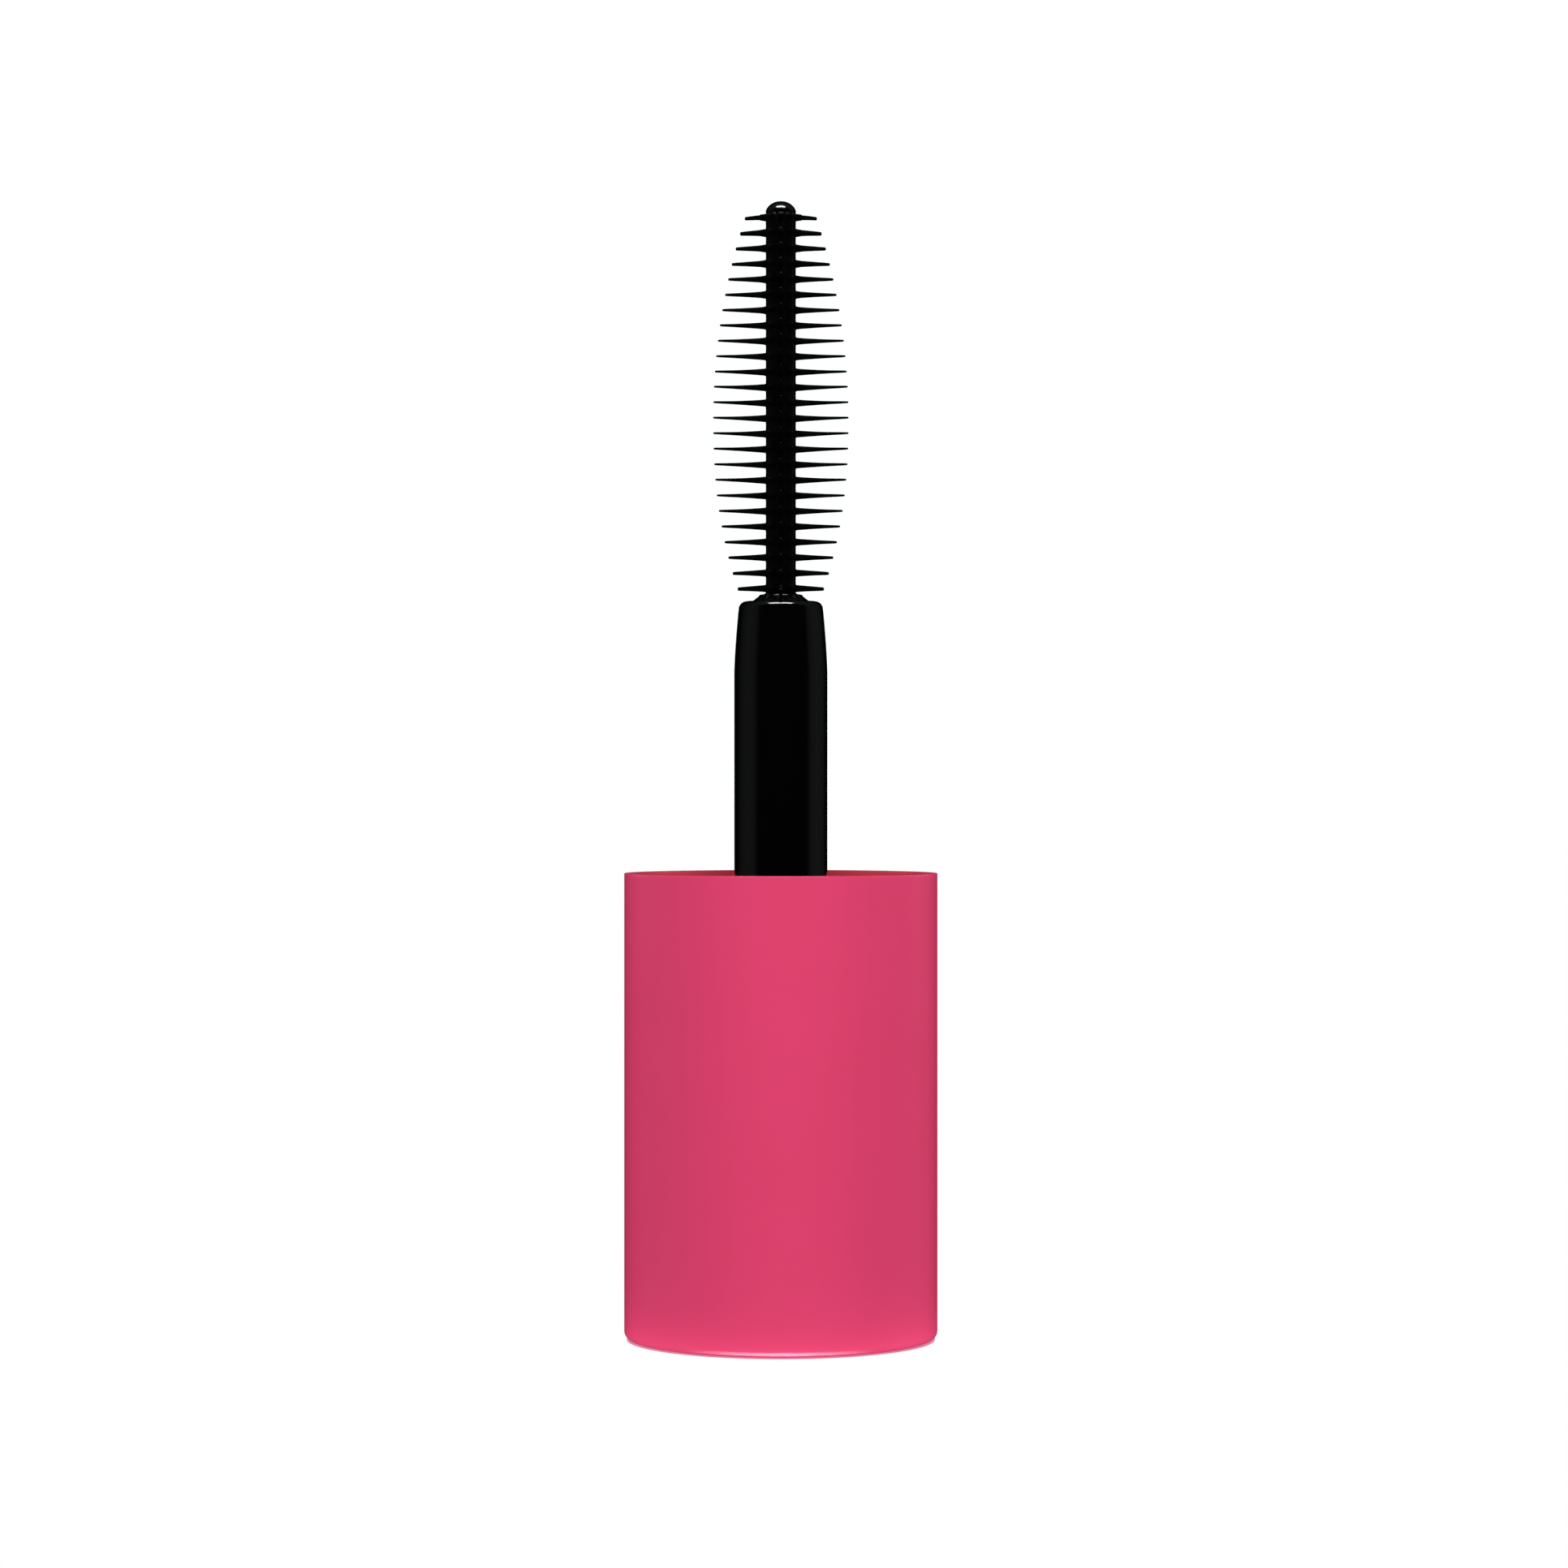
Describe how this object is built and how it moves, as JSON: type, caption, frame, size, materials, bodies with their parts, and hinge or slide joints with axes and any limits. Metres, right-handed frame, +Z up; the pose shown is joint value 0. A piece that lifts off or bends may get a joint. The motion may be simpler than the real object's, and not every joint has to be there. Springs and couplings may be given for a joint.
{
  "type": "mascara cap with wand applicator",
  "caption": "Screw cap of a mascara with its wand: round pink overshell, threaded liner, glossy black rod and a moulded comb brush with an oval outline.",
  "frame": {"origin": "centre of the cap's closed end, which the part stands on", "axes": "+Z up the rod to the tip of the brush; one row of long spikes points along +X"},
  "size_m": [0.016, 0.016, 0.0581],
  "materials": {
    "cap_plastic": "satin moulded pink plastic",
    "liner_plastic": "satin black moulded plastic",
    "seal_rubber": "matt pale grey elastomer",
    "rod_plastic": "glossy black moulded plastic",
    "core_plastic": "glossy black moulded plastic",
    "bristle_elastomer": "satin black moulded elastomer"
  },
  "bodies": {
    "root": {"outer_cap": "cap_plastic", "inner_cap": "liner_plastic", "neck_seal": "seal_rubber", "rod": "rod_plastic", "brush_core": "core_plastic", "bristle_sleeve": "bristle_elastomer"}
  },
  "joints": []
}
